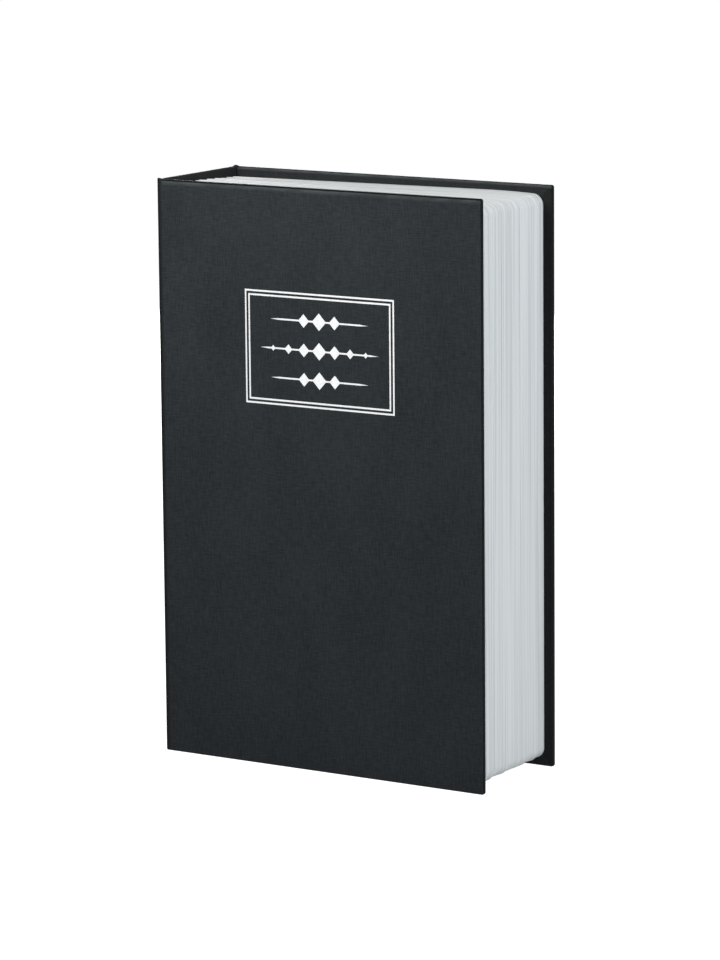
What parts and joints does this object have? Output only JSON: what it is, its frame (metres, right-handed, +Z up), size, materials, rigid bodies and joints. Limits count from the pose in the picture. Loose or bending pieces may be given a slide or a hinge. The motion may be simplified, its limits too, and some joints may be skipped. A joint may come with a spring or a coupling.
{
  "type": "book diversion safe",
  "caption": "Hardback book standing on its tail edge; its page block is a moulded shell round a steel box with a hinged lid and a key cam lock.",
  "frame": {"origin": "centre of the footprint, on the surface that the closed book stands on", "axes": "+Z up from the tail edge to the head, -X at the spine, +X at the fore-edge, -Y out of the front cover, +Y out of the back cover"},
  "size_m": [0.155, 0.0578, 0.24],
  "materials": {
    "cover_paper": "charcoal cover paper with a fine linen emboss",
    "grey_board": "raw grey board",
    "lining_paper": "plain dark lining paper",
    "page_plastic": "cool white moulded plastic, satin",
    "powder_coat": "black powder coat, fine texture",
    "chrome": "bright plating",
    "zinc_steel": "zinc-plated, satin",
    "brass": "stamped",
    "silver_foil": "hot-stamped silver foil"
  },
  "bodies": {
    "safe": {"back_board": "grey_board", "back_cover_cloth": "cover_paper", "back_endpaper": "lining_paper", "back_hinge_cloth": "cover_paper", "page_shell": "page_plastic", "tray": "powder_coat", "lock_strike": "powder_coat", "hinge_leaf_fixed": "powder_coat", "hinge_pin": "zinc_steel", "rivet_1": "zinc_steel", "rivet_2": "zinc_steel", "rivet_3": "zinc_steel", "rivet_4": "zinc_steel"},
    "spine": {"spine_board": "grey_board", "spine_cloth": "cover_paper", "spine_lining": "lining_paper", "front_hinge_cloth": "cover_paper"},
    "front_cover": {"front_board": "grey_board", "front_cover_cloth": "cover_paper", "front_endpaper": "lining_paper", "foil_outer_rule": "silver_foil", "foil_inner_rule": "silver_foil", "foil_ornament_top": "silver_foil", "foil_ornament_middle": "silver_foil", "foil_ornament_bottom": "silver_foil"},
    "lid": {"lid": "powder_coat", "hinge_leaf_moving": "powder_coat", "lock_body": "chrome", "lock_washer": "zinc_steel", "lock_nut": "zinc_steel"},
    "lock_plug": {"lock_plug": "chrome", "cam": "zinc_steel", "cam_washer": "zinc_steel", "cam_screw": "zinc_steel", "lock_wafer_1": "brass", "lock_wafer_2": "brass", "lock_wafer_3": "brass", "lock_wafer_4": "brass", "wafer_spring_1": "zinc_steel", "wafer_spring_2": "zinc_steel", "wafer_spring_3": "zinc_steel", "wafer_spring_4": "zinc_steel"}
  },
  "joints": [
    {"name": "spine_hinge", "type": "hinge", "parent": "safe", "child": "spine", "pos_m": [-0.0763, 0.0277, 0.12], "axis": [0, 0, -1], "range_deg": [0, 90]},
    {"name": "cover_hinge", "type": "hinge", "parent": "spine", "child": "front_cover", "pos_m": [-0.0763, -0.0277, 0.12], "axis": [0, 0, -1], "range_deg": [0, 180]},
    {"name": "lid_hinge", "type": "hinge", "parent": "safe", "child": "lid", "pos_m": [-0.0638, -0.0236, 0.1199], "axis": [0, 0, -1], "range_deg": [0, 110]},
    {"name": "plug_turn", "type": "hinge", "parent": "lid", "child": "lock_plug", "pos_m": [0.0475, -0.0227, 0.1199], "axis": [0, 1, 0], "range_deg": [0, 90]}
  ],
  "couplings": [
    {"joint": "lid_hinge", "follows": "cover_hinge", "ratio": 0.61}
  ]
}
